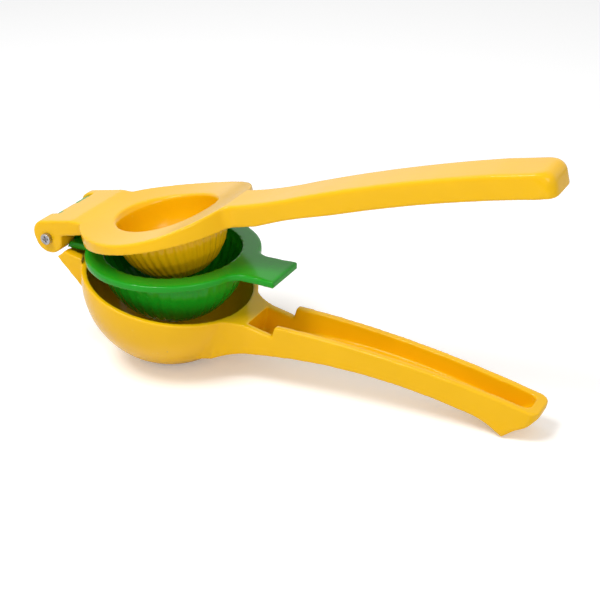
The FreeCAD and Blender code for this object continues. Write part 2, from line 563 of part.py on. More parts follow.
def cup():
    """Middle casting: a ribbed cup on a flat flange, with a thumb tab and a neck with two knuckles."""
    body = new_body("cup_casting")
    top = RING_TOP
    ring_radius = "(<rim_radius>+<bowl_wall>-<ring_overhang>)"
    outside = "(<cup_radius>+<cup_wall>)"
    shell = new_sketch(body, "shell_outline", "XZ_Plane")
    draw_loop(shell, [
        ("0", f"{top}-{outside}", outside, LEFT),
        (f"sqrt({outside}^2-<ring_thickness>^2)", "<seat_gap>"),
        (ring_radius, "<seat_gap>"),
        (ring_radius, top),
        ("0", top),
    ])
    revolve(body, "shell", "Revolution", shell)

    tab = new_sketch(body, "tab_outline", "XY_Plane", "<seat_gap>")
    half = "<tab_width>/2"
    draw_loop(tab, [
        ("<rim_radius>-<tab_root_back>", f"-{half}-<tab_root_spread>"),
        (f"{ring_radius}-<tab_curve_back>", f"-{half}-<tab_curve_spread>", "<tab_curve>", RIGHT),
        ("<tab_waist>", f"-{half}"),
        ("<tab_reach>", f"-{half}-<tab_flare>"),
        ("<tab_reach>", f"{half}+<tab_flare>"),
        ("<tab_waist>", half, "<tab_curve>", RIGHT),
        (f"{ring_radius}-<tab_curve_back>", f"{half}+<tab_curve_spread>"),
        ("<rim_radius>-<tab_root_back>", f"{half}+<tab_root_spread>"),
    ])
    extrude(body, "tab", "Pad", tab, "<ring_thickness>")

    # The neck: a plate that ends in two knuckles, clear of the lever's near lug and the bowl's knuckle.
    neck = new_sketch(body, "neck_outline", "XZ_Plane")
    draw_loop(neck, [
        (f"-{ring_radius}+<neck_overlap>", "<seat_gap>"),
        (f"-{ring_radius}+<neck_overlap>", top),
        (HINGE_X, top),
        (f"{HINGE_X}+<neck_toe>", "<hinge_height>-<knuckle_radius>+<neck_lift>"),
        (f"{HINGE_X}+<neck_heel>", "<seat_gap>"),
    ])
    extrude(body, "neck", "Pad", neck, "<cup_neck_half_width>*2", both_sides=True)
    lug_bay = new_sketch(body, "lug_bay_outline", "XZ_Plane", f"{NEAR_LUG_INNER}-<side_gap>")
    draw_circle(lug_bay, HINGE_X, "<hinge_height>", "<lug_radius>+<turning_gap>")
    extrude(body, "lug_bay", "Pocket", lug_bay, "<hinge_half_width>", reverse=True)
    bay = new_sketch(body, "knuckle_bay_outline", "XZ_Plane", f"-({MIDDLE_FAR}+<side_gap>)")
    draw_loop(bay, [
        (f"{HINGE_X}+{KNUCKLE_SWEEP}", "<hinge_height>-<beyond>"),
        (f"{HINGE_X}+{KNUCKLE_SWEEP}", "<hinge_height>+<beyond>"),
        (f"{HINGE_X}-<beyond>", "<hinge_height>+<beyond>"),
        (f"{HINGE_X}-<beyond>", "<hinge_height>-<beyond>"),
    ])
    extrude(body, "knuckle_bay", "Pocket", bay, "<middle_knuckle_width>+<side_gap>*2", reverse=True)
    near = new_sketch(body, "near_knuckle_outline", "XZ_Plane", f"-({MIDDLE_NEAR}-<side_gap>)")
    draw_circle(near, HINGE_X, "<hinge_height>", "<knuckle_radius>")
    extrude(body, "near_knuckle", "Pad", near, f"{NEAR_LUG_INNER}-<side_gap>+({MIDDLE_NEAR}-<side_gap>)")
    far = new_sketch(body, "far_knuckle_outline", "XZ_Plane", f"-({FAR_LUG_INNER}-<side_gap>)")
    draw_circle(far, HINGE_X, "<hinge_height>", "<knuckle_radius>")
    extrude(body, "far_knuckle", "Pad", far, f"{FAR_LUG_INNER}-<side_gap>-({MIDDLE_FAR}+<side_gap>)")
    bore = new_sketch(body, "bore_outline", "XZ_Plane")
    draw_circle(bore, HINGE_X, "<hinge_height>", BORE_RADIUS)
    extrude(body, "bore", "Pocket", bore, "<hinge_half_width>*2", both_sides=True)

    # Juice holes in the bottom.
    holes = new_sketch(body, "hole_outline", "XY_Plane")
    draw_circle(holes, "<cup_hole_circle>", "0", "<cup_hole_radius>")
    hole = extrude(body, "hole", "Pocket", holes, "<cup_radius>*2")
    polar(body, "holes", hole, "<cup_hole_count>")
    middle = new_sketch(body, "middle_hole_outline", "XY_Plane")
    draw_circle(middle, "0", "0", "<cup_hole_radius>")
    extrude(body, "middle_hole", "Pocket", middle, "<cup_radius>*2")

    # The ribbed hollow.
    hollow = ribbed_form("cup_hollow", size("Dim.cup_radius"), size(named(top)))
    return combine("cup", "Part::Cut", body, hollow)


def press():
    """Upper casting: a dished flange with a fluted dome below, a neck with two lugs, and a channel lever."""
    body = new_body("press_casting")
    lug_side = "sqrt(<lug_radius>^2-<neck_underside>^2)"
    side = new_sketch(body, "side_outline", "XZ_Plane")
    draw_loop(side, [
        (f"{HINGE_X}-<lug_crown>", "<hinge_height>+<neck_top>"),
        (f"-{SADDLE_HALF}", SADDLE_TOP, "<saddle_radius>", LEFT),
        (SADDLE_HALF, SADDLE_TOP, "<lever_root_curve>", LEFT),
        ("<lever_start>", "<lever_root_height>", "<lever_crown>", RIGHT),
        ("<lever_reach>-<lever_end_run>", "<lever_end_height>", "<lever_end_curve>", RIGHT),
        ("<lever_reach>", "<lever_tip_height>+<tip_rise>"),
        ("<lever_reach>-<tip_back>", "<lever_tip_height>", "<lever_belly>", LEFT),
        ("<belly_root>", FLANGE_UNDERSIDE),
        ("-<neck_edge>", FLANGE_UNDERSIDE),
        ("-<neck_edge>", NECK_BOTTOM),
        (f"{HINGE_X}+{lug_side}", NECK_BOTTOM, "<lug_radius>", RIGHT),
        (HINGE_X, "<hinge_height>-<lug_radius>", "<lug_radius>", RIGHT),
        (f"{HINGE_X}-<lug_radius>", "<hinge_height>", "<lug_back_curve>", RIGHT),
    ])
    extrude(body, "side_form", "Pad", side, f"{FLANGE_RADIUS}*2+<beyond>", both_sides=True)

    plan = new_sketch(body, "plan_outline", "XY_Plane")
    draw_frame(plan, "<lever_reach>*1.5")
    half = "<lever_width>/2"
    joint = "<lever_root_corner>"
    joint_x = f"sqrt(({FLANGE_RADIUS}+{joint})^2-({half}+{joint})^2)"
    on_flange_x = f"({joint_x})*{FLANGE_RADIUS}/({FLANGE_RADIUS}+{joint})"
    on_flange_y = f"({half}+{joint})*{FLANGE_RADIUS}/({FLANGE_RADIUS}+{joint})"
    neck_x = f"sqrt({FLANGE_RADIUS}^2-<hinge_half_width>^2)"
    draw_loop(plan, [
        ("-<hinge_reach>-<beyond>", "-<hinge_half_width>"),
        (f"-{neck_x}", "-<hinge_half_width>", FLANGE_RADIUS, LEFT),
        ("0", f"-{FLANGE_RADIUS}", FLANGE_RADIUS, LEFT),
        (on_flange_x, f"-{on_flange_y}", joint, RIGHT),
        (joint_x, f"-{half}"),
        ("<lever_reach>-<lever_corner>", f"-{half}", "<lever_corner>", LEFT),
        ("<lever_reach>", f"-{half}+<lever_corner>"),
        ("<lever_reach>", f"{half}-<lever_corner>", "<lever_corner>", LEFT),
        ("<lever_reach>-<lever_corner>", half),
        (joint_x, half, joint, RIGHT),
        (on_flange_x, on_flange_y, FLANGE_RADIUS, LEFT),
        ("0", FLANGE_RADIUS, FLANGE_RADIUS, LEFT),
        (f"-{neck_x}", "<hinge_half_width>"),
        ("-<hinge_reach>-<beyond>", "<hinge_half_width>"),
    ])
    extrude(body, "plan_trim", "Pocket", plan, "<lever_reach>*3", both_sides=True)

    # Room for the other castings' knuckles between the two lugs, and the channel under the lever.
    bay = new_sketch(body, "knuckle_bay_outline", "XZ_Plane", f"-{FAR_LUG_INNER}")
    draw_circle(bay, HINGE_X, "<hinge_height>", KNUCKLE_SWEEP)
    extrude(body, "knuckle_bay", "Pocket", bay, f"{FAR_LUG_INNER}+{NEAR_LUG_INNER}", reverse=True)
    strap = new_sketch(body, "strap_edge_outline", "XZ_Plane", f"-{FAR_LUG_INNER}")
    draw_loop(strap, [
        (f"{HINGE_X}-<beyond>", "<hinge_height>"),
        (f"{HINGE_X}+<neck_rear>", "<hinge_height>"),
        (f"{HINGE_X}+<neck_rear>", "<hinge_height>+<beyond>"),
        (f"{HINGE_X}-<beyond>", "<hinge_height>+<beyond>"),
    ])
    extrude(body, "strap_edge", "Pocket", strap, f"{FAR_LUG_INNER}+{NEAR_LUG_INNER}", reverse=True)
    channel = new_sketch(body, "channel_outline", "XZ_Plane")
    draw_loop(channel, [
        ("<hollow_start>", "0"),
        ("<hollow_start>", "<hollow_root_height>-<lever_roof>", "<lever_root_curve>", LEFT),
        ("<lever_start>", "<lever_root_height>-<lever_roof>", "<lever_crown>-<lever_roof>", RIGHT),
        ("<lever_reach>-<lever_end_run>", "<lever_end_height>-<lever_roof>"),
        ("<lever_reach>-<lever_end_wall>", "<lever_tip_height>+<hollow_end_rise>"),
        ("<lever_reach>-<lever_end_wall>", "0"),
    ])
    extrude(body, "channel", "Pocket", channel, "<lever_width>-<lever_wall>*2", both_sides=True)

    # Bores for the post and its screw.
    bore = new_sketch(body, "bore_outline", "XZ_Plane", "-<hinge_half_width>*1.5")
    draw_circle(bore, HINGE_X, "<hinge_height>", BORE_RADIUS)
    extrude(body, "bore", "Pocket", bore, "<hinge_half_width>*2.5-<near_lug_skin>", reverse=True)
    pilot = new_sketch(body, "screw_bore_outline", "XZ_Plane")
    draw_circle(pilot, HINGE_X, "<hinge_height>", "<screw_shank_radius>+<screw_play>")
    extrude(body, "screw_bore", "Pocket", pilot, "<hinge_half_width>*1.5", reverse=True)

    # The ribbed dome below the flange and the recess with its soft lip that hollows it from above.
    dome = ribbed_form("dome", size("Dim.dome_radius"), size(named(FLANGE_UNDERSIDE)))
    with_dome = combine("press_with_dome", "Part::Fuse", body, dome)
    recess = new_body("recess_form")
    recess_outline = new_sketch(recess, "recess_outline", "XZ_Plane")
    inside = "(<dome_radius>-<dome_wall>)"
    draw_loop(recess_outline, [
        ("0", f"{FLANGE_UNDERSIDE}-{inside}", inside, LEFT),
        (inside, FLANGE_UNDERSIDE),
        (inside, f"{FLANGE_TOP}-<lip_depth>", "<lip_curve>", RIGHT),
        (f"{inside}+<recess_lip>", f"{FLANGE_TOP}+<lip_rise>"),
        (f"{inside}+<recess_lip>", f"{SADDLE_TOP}+<beyond>"),
        ("0", f"{SADDLE_TOP}+<beyond>"),
    ])
    revolve(recess, "recess", "Revolution", recess_outline)
    return combine("press", "Part::Cut", with_dome, recess)


def hinge_post():
    """Steel post through all knuckles, with a low head outside the far lug and a threaded end."""
    body = new_body("hinge_post")
    shank = new_sketch(body, "shank_outline", "XZ_Plane", "-<hinge_half_width>")
    draw_circle(shank, HINGE_X, "<hinge_height>", "<post_radius>")
    extrude(body, "shank", "Pad", shank, "<hinge_half_width>*2-<near_lug_skin>-<side_gap>/2")
    head = new_sketch(body, "head_outline", "XZ_Plane", "-<hinge_half_width>-<post_head_height>")
    draw_circle(head, HINGE_X, "<hinge_height>", "<post_head_radius>")
    extrude(body, "head", "Pad", head, "<post_head_height>")
    tapped = new_sketch(body, "screw_hole_outline", "XZ_Plane")
    draw_circle(tapped, HINGE_X, "<hinge_height>", "<screw_shank_radius>")
    extrude(body, "screw_hole", "Pocket", tapped, "<hinge_half_width>*1.5", reverse=True)
    return body


def hinge_screw():
    """Pan-head screw with a cross recess that holds the post from the near side."""
    body = new_body("hinge_screw")
    head = new_sketch(body, "head_outline", "XZ_Plane", "<hinge_half_width>")
    draw_circle(head, HINGE_X, "<hinge_height>", "<screw_head_radius>")
    extrude(body, "head", "Pad", head, "<screw_head_height>")
    shank = new_sketch(body, "shank_outline", "XZ_Plane", "<hinge_half_width>-<screw_length>")
    draw_circle(shank, HINGE_X, "<hinge_height>", "<screw_shank_radius>")
    extrude(body, "shank", "Pad", shank, "<screw_length>")
    arm = "<screw_cross_width>/2"
    reach = "<screw_cross_span>/2"
    face = "<hinge_half_width>+<screw_head_height>-<screw_cross_depth>"
    cross = new_sketch(body, "cross_outline", "XZ_Plane", face)
    corners = [
        (arm, reach), (arm, arm), (reach, arm),
        (reach, f"-{arm}"), (arm, f"-{arm}"), (arm, f"-{reach}"),
        (f"-{arm}", f"-{reach}"), (f"-{arm}", f"-{arm}"), (f"-{reach}", f"-{arm}"),
        (f"-{reach}", arm), (f"-{arm}", arm), (f"-{arm}", reach),
    ]
    draw_loop(cross, [(f"{HINGE_X}+({x})", f"<hinge_height>+({z})") for x, z in corners])
    extrude(body, "cross", "Pocket", cross, "<screw_cross_depth>+<beyond>", reverse=True)
    return body


bodies = [bowl_and_handle(), cup(), press(), hinge_post(), hinge_screw()]

# Stance: the cup and the press are turned open about the hinge, then the whole leans until the
# bowl's flat and the handle's heel stand on the ground, centred over the origin.
hinge = Vector(size(named(HINGE_X)), 0, size(named("<hinge_height>")))


def opened(degrees):
    """A turn about the hinge that lifts the handles' end."""
    return Placement(Vector(), Rotation(Vector(0, -1, 0), degrees), hinge)


lean = Placement(Vector(), Rotation(Vector(0, 1, 0), size(named(LEAN))))
cup_angle = size(named("<cup_open_angle>"))
press_angle = cup_angle + size(named("<lever_open_angle>"))
turns = {
    "bowl_and_handle": 0.0,
    "cup": cup_angle,
    "press": press_angle,
    "hinge_post": press_angle,
    "hinge_screw": press_angle,
}
boxes = []
for body in bodies:
    shape = body.Shape.copy()
    shape.Placement = lean * opened(turns[body.Label])
    boxes.append(shape.optimalBoundingBox(False, False))
low = Vector(min(box.XMin for box in boxes), min(box.YMin for box in boxes), min(box.ZMin for box in boxes))
high = Vector(max(box.XMax for box in boxes), max(box.YMax for box in boxes), 0)
centring = Placement(Vector(-(low.x + high.x) / 2, -(low.y + high.y) / 2, -low.z), Rotation())
for body in bodies:
    body.Placement = centring * lean * opened(turns[body.Label])
doc.recompute()

for item in doc.Objects:
    if "Invalid" in item.State or "Error" in item.State:
        raise RuntimeError(f"{item.Label} did not build: {item.State}")
os.makedirs("parts", exist_ok=True)
for body in bodies:
    if body.Shape.isNull() or not body.Shape.isValid() or len(body.Shape.Solids) != 1:
        raise RuntimeError(f"{body.Label} is not one sound solid")
    body.Shape.exportStep(f"parts/{body.Label}.step")
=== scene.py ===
import json
import math

import bmesh
import bpy
import numpy as np
from mathutils import Matrix, Vector


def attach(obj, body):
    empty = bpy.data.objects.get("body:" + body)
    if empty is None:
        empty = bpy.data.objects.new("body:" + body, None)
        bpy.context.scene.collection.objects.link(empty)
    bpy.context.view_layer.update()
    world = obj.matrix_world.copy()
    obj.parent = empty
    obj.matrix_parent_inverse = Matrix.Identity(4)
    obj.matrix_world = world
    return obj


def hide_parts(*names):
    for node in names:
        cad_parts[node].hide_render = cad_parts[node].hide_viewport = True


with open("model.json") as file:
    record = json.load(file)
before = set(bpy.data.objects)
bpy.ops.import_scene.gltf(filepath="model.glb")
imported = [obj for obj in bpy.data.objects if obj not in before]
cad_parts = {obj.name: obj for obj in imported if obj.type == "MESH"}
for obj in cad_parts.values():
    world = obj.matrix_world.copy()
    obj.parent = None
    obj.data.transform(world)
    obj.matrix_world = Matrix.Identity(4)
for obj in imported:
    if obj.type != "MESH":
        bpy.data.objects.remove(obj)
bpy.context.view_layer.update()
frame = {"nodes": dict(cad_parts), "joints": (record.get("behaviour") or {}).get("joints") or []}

# The hinge and the camera: places in metres, angles in degrees, lens and sensor in millimetres.
HINGE = Vector(frame["joints"][0]["pos_m"])
CAMERA_TARGET = HINGE + Vector((0.0941, 0.0207, -0.0280))
CAMERA_AZIMUTH = 29.43
CAMERA_ELEVATION = 26.59
CAMERA_ROLL = -2.91
CAMERA_DISTANCE = 0.5336
CAMERA_LENS = 78.4
SENSOR_WIDTH = 36
CLIP_START = 0.01
CLIP_END = 20

# Light levels, and places and widths of the lamps in metres.
SKY_STRENGTH = 0.50
KEY_POWER = 3.5
SIDE_POWER = 1.5
BACK_POWER = 0.5
FLOOR_LIFT = 0.22
BACKDROP_STRENGTH = 1.0
LAMP_AIM = (0, 0, 0.04)
KEY_PLACE = (-0.15, -0.30, 0.70)
KEY_WIDTH = 0.30
SIDE_PLACE = (0.65, -0.50, 0.45)
SIDE_WIDTH = 0.35
BACK_PLACE = (-0.45, 0.35, 0.75)
BACK_WIDTH = 0.45

# The floor's reach and drop in metres, its grey as it lights the object and as the camera sees it.
FLOOR_REACH = 6.0
FLOOR_DROP = 0.0002
FLOOR_GREY = 0.82
FLOOR_WHITE = 0.98

# Sockets of the colour mix node.
MIX_FIRST = 6
MIX_SECOND = 7
MIX_RESULT = 2

# Enamel: reflection, noise sizes with their detail, and each source's two levels with what they become.
ENAMEL_IOR = 1.5
ENAMEL_SPECULAR = 0.22
ENAMEL_COAT = 0.04
ENAMEL_COAT_ROUGHNESS = 0.06
CLOUD_NOISE = (38, 3)
DUST_NOISE = (2600, 2)
PEEL_NOISE = (700, 1)
GRAIN_NOISE = (160, 4)
CLOUD_SPREAD = (0.3, 0.62, 0, 1)
# Pointiness levels over which convex edges take the painted highlight colour.
EDGE_HIGHLIGHT_SPREAD = (0.515, 0.60, 0, 0.6)
SPECK_SPREAD = (0.76, 0.80, 0, 0.5)
WEAR_EDGE_SPREAD = (0.56, 0.64, 0, 1)
WEAR_SPOT_SPREAD = (0.66, 0.70, 0, 1)
GLOSS_SPREAD = (0.3, 0.7, 0.13, 0.20)
PEEL_STRENGTH = 0.025
PEEL_DEPTH = 0.0002

# Plated steel, in the same way.
STEEL_GRAIN_NOISE = (1500, 4)
STAIN_NOISE = (420, 3)
STAIN_SPREAD = (0.35, 0.65, 0, 1)
STEEL_ROUGH_SPREAD = (0.3, 0.7, 0.22, 0.45)
STEEL_GRAIN_STRENGTH = 0.15
STEEL_GRAIN_DEPTH = 0.0001
DARK_STEEL = (0.30, 0.29, 0.30)
PALE_STEEL = (0.50, 0.49, 0.50)

# Fineness of the remeshed castings and of the steel pieces, in metres, and how often each is softened.
VOXEL = 0.0004
FINE_VOXEL = 0.00016
SOFT_ROUNDS = 8
EDGE_ROUNDS = 34

# The pieces' tilt at rest, in degrees, and sizes of the closed squeezer, in millimetres.
LOWER_TILT = -13.6353
CUP_TILT = -1.7353
PRESS_TILT = 11.0647
HINGE_REACH = 48.6
HINGE_HEIGHT = 5.4
BOWL_RADIUS = 34.0
BOWL_WALL = 2.2
DRAIN_START = 11.0
DRAIN_END = 17.5
HANDLE_END_START = 146.0
CHANNEL_END = 154.7
HANDLE_END = 160.2
CHANNEL_END_SHIFT = 1.7
HANDLE_END_SHIFT = 0.6
CUP_TOP = 3.3
CUP_RADIUS = 28.0
CUP_FLANGE = 3.0
RIB_COUNT = 40
FLUTE_DEPTH = 0.25
BELLY_DROP = 1.1
LEVER_ARC_X = 152.93
LEVER_ARC_Z = 3.18
LEVER_ARC_RADIUS = 16.0
LEVER_HALF = 9.5
LEVER_REACH = 166.6
OLD_CORNER = 3.5
LEVER_END = 165.0
LEVER_END_TOP = 19.1
LEVER_END_ROUND = 4.0
LEVER_END_CORNER = 4.2
LEVER_END_DIP = 0.8
LEVER_END_START = 150.0

# Heights along the castings in the same frame, as pairs of a place along it and a height.
HANDLE_TOP = ((-60, 0), (34, 0), (48, 0), (54, 5), (110, 7.5), (158, 14.7))
LEVER_ROOF = ((44, 9.6), (66, 11.8), (110, 15.4), (155, 16.5), (167, 16.5))
LEVER_BELLY = ((46, 3.6), (75, 7.9), (105, 10.1), (135, 11.0), (165, 10.5))
PRESS_TOP = (
    (-60, 12.8), (-34, 12.2), (0, 7.9), (34, 12.2), (66, 14.4), (110, 18.2), (155, 19.1), (167, 19.1),
)

# Stretches over which a change sets in, from none to all, and how much rounding each form gets.
END_WALL_RISE = (4, 9)
BOWL_DEPTH_FADE = (2.5, 5.0)
STRUT_FADE = (-30, -20)
BOWL_SHARE = 0.8
MOUTH_BAND = (-1.4, 0.3)
MOUTH_FADE = (2.0, 5.5)
FLUTE_BAND = (1.3, 2.6)
FLUTE_GAP = 0.3
FLUTE_EDGE = (-0.5, 0.5)
FLUTE_TOP_FADE = (4.0, 7.0)
FLUTE_POLE_FADE = (5, 12)
CUP_FLANGE_FADE = (-0.4, 0.2)
CUP_RIM_FADE = (29.5, 31)
CUP_SHARE = 0.35
BELLY_FADE = (56, 84)
LEVER_DIP_RUN = 8
LEVER_EDGE_HEIGHT = 11.5
LEVER_EDGE_PLACE = (165, 10.5)
LEVER_EDGE_SLOPE = 1.6
LEVER_ROOT_FADE = (34, 44)
LEVER_DEPTH_FADE = (5.5, 3.5)
LEVER_END_FADE = (158, 161)
FLANGE_HEIGHT_FADE = (3.7, 4.4)
FLANGE_FRONT_FADE = (44, 36)
FLANGE_BACK_FADE = (-38, -30)
FLANGE_SHARE = 0.5
LUG_FADE = (-34, -40)
LUG_SIDE_FADE = (9.4, 9.8)
LUG_SHARE = 0.4
SHARE_STEPS = 10
SMOOTH_FACTOR = 0.5

# The ring that closes the outer part of the drain slots: its fineness, and how far it passes the wall.
RING_STEPS = 96
RING_LEVELS = 6
RING_OVERLAP = 0.05

# Softening rounds of the two steel pieces.
POST_ROUNDS = 4
SCREW_ROUNDS = 5

# Enamel colours: the coat, where it is thick, the painted highlight on convex edges, and where it is
# chipped.
YELLOW = (0.90, 0.505, 0.003)
DEEP_YELLOW = (0.86, 0.475, 0.002)
EDGE_HIGHLIGHT_YELLOW = (0.90, 0.55, 0.03)
CHIP_YELLOW = (0.62, 0.36, 0.05)
GREEN = (0.012, 0.33, 0.012)
DEEP_GREEN = (0.009, 0.29, 0.010)
EDGE_HIGHLIGHT_GREEN = (0.03, 0.40, 0.03)
CHIP_GREEN = (0.05, 0.16, 0.05)


def make_camera():
    """The camera of the photograph."""
    data = bpy.data.cameras.new("camera")
    camera = bpy.data.objects.new("camera", data)
    bpy.context.scene.collection.objects.link(camera)
    data.lens = CAMERA_LENS
    data.sensor_width = SENSOR_WIDTH
    data.clip_start = CLIP_START
    data.clip_end = CLIP_END
    azimuth = math.radians(CAMERA_AZIMUTH)
    elevation = math.radians(CAMERA_ELEVATION)
    forward = Vector((
        -math.sin(azimuth) * math.cos(elevation),
        math.cos(azimuth) * math.cos(elevation),
        -math.sin(elevation),
    ))
    level = forward.to_track_quat("-Z", "Y").to_matrix().to_4x4()
    roll = Matrix.Rotation(math.radians(CAMERA_ROLL), 4, "Z")
    camera.matrix_world = Matrix.Translation(CAMERA_TARGET - forward * CAMERA_DISTANCE) @ level @ roll
    bpy.context.scene.camera = camera


def add_area(name, place, width, power):
    """A soft square lamp that looks at the object."""
    data = bpy.data.lights.new(name, "AREA")
    data.shape = "SQUARE"
    data.size = width
    data.energy = power
    lamp = bpy.data.objects.new(name, data)
    bpy.context.scene.collection.objects.link(lamp)
    lamp.location = place
    lamp.rotation_mode = "QUATERNION"
    lamp.rotation_quaternion = (Vector(LAMP_AIM) - Vector(place)).to_track_quat("-Z", "Y")


def make_light():
    """Even studio light: a pale tent with one large lamp above and weaker ones at the sides."""
    world = bpy.data.worlds.new("studio")
    bpy.context.scene.world = world
    world.use_nodes = True
    tree = world.node_tree
    tree.nodes.clear()
    sky = tree.nodes.new("ShaderNodeBackground")
    sky.inputs["Color"].default_value = (1, 1, 1, 1)
    sky.inputs["Strength"].default_value = SKY_STRENGTH
    backdrop = tree.nodes.new("ShaderNodeBackground")
    backdrop.inputs["Color"].default_value = (1, 1, 1, 1)
    backdrop.inputs["Strength"].default_value = BACKDROP_STRENGTH
    path = tree.nodes.new("ShaderNodeLightPath")
    seen = tree.nodes.new("ShaderNodeMath")
    seen.operation = "MAXIMUM"
    mirrored = tree.nodes.new("ShaderNodeMath")
    mirrored.operation = "MAXIMUM"
    mix = tree.nodes.new("ShaderNodeMixShader")
    output = tree.nodes.new("ShaderNodeOutputWorld")
    tree.links.new(path.outputs["Is Glossy Ray"], mirrored.inputs[0])
    tree.links.new(path.outputs["Is Transmission Ray"], mirrored.inputs[1])
    tree.links.new(path.outputs["Is Camera Ray"], seen.inputs[0])
    tree.links.new(mirrored.outputs[0], seen.inputs[1])
    tree.links.new(seen.outputs[0], mix.inputs[0])
    tree.links.new(sky.outputs[0], mix.inputs[1])
    tree.links.new(backdrop.outputs[0], mix.inputs[2])
    tree.links.new(mix.outputs[0], output.inputs[0])
    add_area("key", KEY_PLACE, KEY_WIDTH, KEY_POWER)
    add_area("side", SIDE_PLACE, SIDE_WIDTH, SIDE_POWER)
    add_area("back", BACK_PLACE, BACK_WIDTH, BACK_POWER)


def make_floor():
    """A plain pale floor with the object's soft shadow."""
    mesh = bpy.data.meshes.new("floor")
    signs = ((-1, -1), (1, -1), (1, 1), (-1, 1))
    corners = [(FLOOR_REACH * across, FLOOR_REACH * along, 0) for across, along in signs]
    mesh.from_pydata(corners, [], [(0, 1, 2, 3)])
    floor = bpy.data.objects.new("floor", mesh)
    bpy.context.scene.collection.objects.link(floor)
    floor.location.z = -FLOOR_DROP
    material = bpy.data.materials.new("floor")
    material.use_nodes = True
    tree = material.node_tree
    tree.nodes.clear()
    plain = tree.nodes.new("ShaderNodeBsdfDiffuse")
    plain.inputs["Color"].default_value = (FLOOR_GREY, FLOOR_GREY, FLOOR_GREY, 1)
    seen = tree.nodes.new("ShaderNodeBsdfDiffuse")
    seen.inputs["Color"].default_value = (FLOOR_WHITE, FLOOR_WHITE, FLOOR_WHITE, 1)
    lift = tree.nodes.new("ShaderNodeEmission")
    lift.inputs["Color"].default_value = (1, 1, 1, 1)
    lift.inputs["Strength"].default_value = FLOOR_LIFT
    pale = tree.nodes.new("ShaderNodeAddShader")
    path = tree.nodes.new("ShaderNodeLightPath")
    mix = tree.nodes.new("ShaderNodeMixShader")
    output = tree.nodes.new("ShaderNodeOutputMaterial")
    tree.links.new(seen.outputs[0], pale.inputs[0])
    tree.links.new(lift.outputs[0], pale.inputs[1])
    tree.links.new(path.outputs["Is Camera Ray"], mix.inputs[0])
    tree.links.new(plain.outputs[0], mix.inputs[1])
    tree.links.new(pale.outputs[0], mix.inputs[2])
    tree.links.new(mix.outputs[0], output.inputs[0])
    mesh.materials.append(material)


def noise(tree, place, scale, detail):
    """A noise texture on the piece's own coordinates."""
    texture = tree.nodes.new("ShaderNodeTexNoise")
    texture.inputs["Scale"].default_value = scale
    texture.inputs["Detail"].default_value = detail
    tree.links.new(place.outputs["Object"], texture.inputs["Vector"])
    return texture


def spread(tree, source, low, high, to_low, to_high):
    """A source's values between two levels, spread between two others."""
    node = tree.nodes.new("ShaderNodeMapRange")
    node.inputs[1].default_value = low
    node.inputs[2].default_value = high
    node.inputs[3].default_value = to_low
    node.inputs[4].default_value = to_high
    tree.links.new(source, node.inputs[0])
    return node


def blend_colour(tree, share, first, second):
    """The output of a mix of two colours, where the first is a colour or a socket."""
    node = tree.nodes.new("ShaderNodeMix")
    node.data_type = "RGBA"
    if isinstance(first, tuple):
        node.inputs[MIX_FIRST].default_value = (*first, 1)
    else:
        tree.links.new(first, node.inputs[MIX_FIRST])
    node.inputs[MIX_SECOND].default_value = (*second, 1)
    tree.links.new(share, node.inputs[0])
    return node.outputs[MIX_RESULT]


def enamel(name, colour, deep_colour, edge_highlight_colour, chip_colour):
    """Glossy sprayed enamel with a cloudy tone, dark specks and chipped edges, its convex edges lightened
    as a painted highlight, and a faint orange peel.
    """
    material = bpy.data.materials.new(name)
    material.use_nodes = True
    tree = material.node_tree
    shader = tree.nodes["Principled BSDF"]
    shader.inputs["Metallic"].default_value = 0.0
    shader.inputs["IOR"].default_value = ENAMEL_IOR
    shader.inputs["Specular IOR Level"].default_value = ENAMEL_SPECULAR
    shader.inputs["Coat Weight"].default_value = ENAMEL_COAT
    shader.inputs["Coat Roughness"].default_value = ENAMEL_COAT_ROUGHNESS
    place = tree.nodes.new("ShaderNodeTexCoord")
    shape = tree.nodes.new("ShaderNodeNewGeometry")
    cloud = noise(tree, place, *CLOUD_NOISE)
    dust = noise(tree, place, *DUST_NOISE)
    peel = noise(tree, place, *PEEL_NOISE)
    grain = noise(tree, place, *GRAIN_NOISE)
    body_share = spread(tree, cloud.outputs["Fac"], *CLOUD_SPREAD)
    body = blend_colour(tree, body_share.outputs[0], deep_colour, colour)
    # Painted highlight: convex edges are lightened towards the edge colour.
    edge_highlight_share = spread(tree, shape.outputs["Pointiness"], *EDGE_HIGHLIGHT_SPREAD)
    highlighted_edges = blend_colour(tree, edge_highlight_share.outputs[0], body, edge_highlight_colour)
    speck_share = spread(tree, dust.outputs["Fac"], *SPECK_SPREAD)
    specked = blend_colour(tree, speck_share.outputs[0], highlighted_edges, deep_colour)
    wear_edge = spread(tree, shape.outputs["Pointiness"], *WEAR_EDGE_SPREAD)
    wear_spot = spread(tree, grain.outputs["Fac"], *WEAR_SPOT_SPREAD)
    wear = tree.nodes.new("ShaderNodeMath")
    wear.operation = "MULTIPLY"
    tree.links.new(wear_edge.outputs[0], wear.inputs[0])
    tree.links.new(wear_spot.outputs[0], wear.inputs[1])
    worn = blend_colour(tree, wear.outputs[0], specked, chip_colour)
    tree.links.new(worn, shader.inputs["Base Color"])
    gloss = spread(tree, grain.outputs["Fac"], *GLOSS_SPREAD)
    tree.links.new(gloss.outputs[0], shader.inputs["Roughness"])
    bump = tree.nodes.new("ShaderNodeBump")
    bump.inputs["Strength"].default_value = PEEL_STRENGTH
    bump.inputs["Distance"].default_value = PEEL_DEPTH
    tree.links.new(peel.outputs["Fac"], bump.inputs["Height"])
    tree.links.new(bump.outputs["Normal"], shader.inputs["Normal"])
    return material


